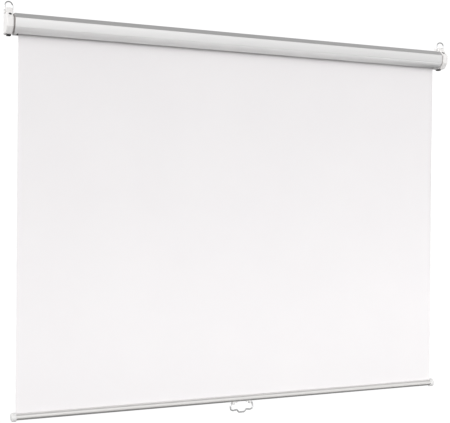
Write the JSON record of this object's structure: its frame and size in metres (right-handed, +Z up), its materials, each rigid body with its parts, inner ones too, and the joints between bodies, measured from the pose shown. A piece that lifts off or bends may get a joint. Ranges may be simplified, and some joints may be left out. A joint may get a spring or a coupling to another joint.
{
  "type": "projector screen",
  "caption": "Pull-down projection screen: faceted case with a spring roller, white fabric, round bottom bar with a wire handle, and a hanging loop over each end cap.",
  "frame": {"origin": "midway between the two hanging loops, at the height where a hook bears on the inside of their arches", "axes": "+X along the case to the right as the viewer faces the picture side, +Y towards the wall behind the screen, +Z up; the picture side faces -Y"},
  "size_m": [2.1156, 0.07, 1.707],
  "materials": {
    "case_paint": "satin white powder coat",
    "cap_plastic": "moulded off-white plastic with a fine grain",
    "loop_wire": "bright plated wire",
    "zinc_steel": "zinc plated",
    "black_steel": "black oxide",
    "black_rubber": "matt moulded rubber",
    "grey_nylon": "moulded nylon",
    "spring_steel": "oiled spring wire",
    "tube_aluminium": "mill finish",
    "pawl_brass": "plain",
    "screen_fabric": "matt white coated projection fabric",
    "bar_paint": "gloss white paint",
    "grey_cap_plastic": "moulded light grey plastic",
    "handle_chrome": "bright plated wire"
  },
  "bodies": {
    "case": {"case_shell": "case_paint", "left_end_cap": "cap_plastic", "right_end_cap": "cap_plastic", "left_hanger_block": "cap_plastic", "right_hanger_block": "cap_plastic", "left_hanging_loop": "loop_wire", "right_hanging_loop": "loop_wire", "left_hanger_screw_1": "zinc_steel", "left_hanger_screw_2": "zinc_steel", "right_hanger_screw_1": "zinc_steel", "right_hanger_screw_2": "zinc_steel", "left_cap_screw_front": "black_steel", "left_cap_screw_back": "black_steel", "right_cap_screw_front": "black_steel", "right_cap_screw_back": "black_steel", "left_case_screw": "zinc_steel", "right_case_screw": "zinc_steel", "left_roller_bracket": "zinc_steel", "right_roller_bracket": "zinc_steel", "left_rubber_foot": "black_rubber", "right_rubber_foot": "black_rubber", "idle_bush": "grey_nylon", "spring_spindle": "zinc_steel", "ratchet_wheel": "zinc_steel", "spring_collar": "zinc_steel", "torsion_spring": "spring_steel", "screen_fabric": "screen_fabric"},
    "roller": {"roller_tube": "tube_aluminium", "fabric_roll": "screen_fabric", "idle_plug": "grey_nylon", "idle_pin": "zinc_steel", "lock_housing": "grey_nylon", "lock_cover": "zinc_steel", "winding_plug": "grey_nylon", "pawl_pin_a": "zinc_steel", "pawl_pin_b": "zinc_steel"},
    "lock_pawl_a": {"lock_pawl_a": "pawl_brass"},
    "lock_pawl_b": {"lock_pawl_b": "pawl_brass"},
    "bottom_bar": {"bottom_bar_tube": "bar_paint", "left_bar_cap": "grey_cap_plastic", "right_bar_cap": "grey_cap_plastic", "hem_rod": "zinc_steel", "fabric_hem": "screen_fabric", "left_handle_clip": "grey_cap_plastic", "right_handle_clip": "grey_cap_plastic", "left_clip_screw": "zinc_steel", "right_clip_screw": "zinc_steel"},
    "pull_handle": {"pull_handle": "handle_chrome"}
  },
  "joints": [
    {"name": "screen_drop", "type": "slide", "parent": "case", "child": "bottom_bar", "axis": [0, 0, 1], "range_m": [0, 1.495], "deforming": ["screen_fabric"]},
    {"name": "roller_spin", "type": "hinge", "parent": "case", "child": "roller", "pos_m": [0, -0.0141, -0.083], "axis": [1, 0, 0], "range_deg": [0, 4501]},
    {"name": "handle_swing", "type": "hinge", "parent": "bottom_bar", "child": "pull_handle", "pos_m": [-0.005, 0.005, -1.6586], "axis": [1, 0, 0], "range_deg": [-90, 90]},
    {"name": "pawl_a_swing", "type": "hinge", "parent": "roller", "child": "lock_pawl_a", "pos_m": [1.011, -0.0141, -0.0704], "axis": [-1, 0, 0], "range_deg": [-11, 15]},
    {"name": "pawl_b_swing", "type": "hinge", "parent": "roller", "child": "lock_pawl_b", "pos_m": [1.011, -0.0141, -0.0956], "axis": [-1, 0, 0], "range_deg": [-11, 15]}
  ],
  "couplings": [
    {"joint": "roller_spin", "follows": "screen_drop", "rad_per_m": 52.535}
  ]
}
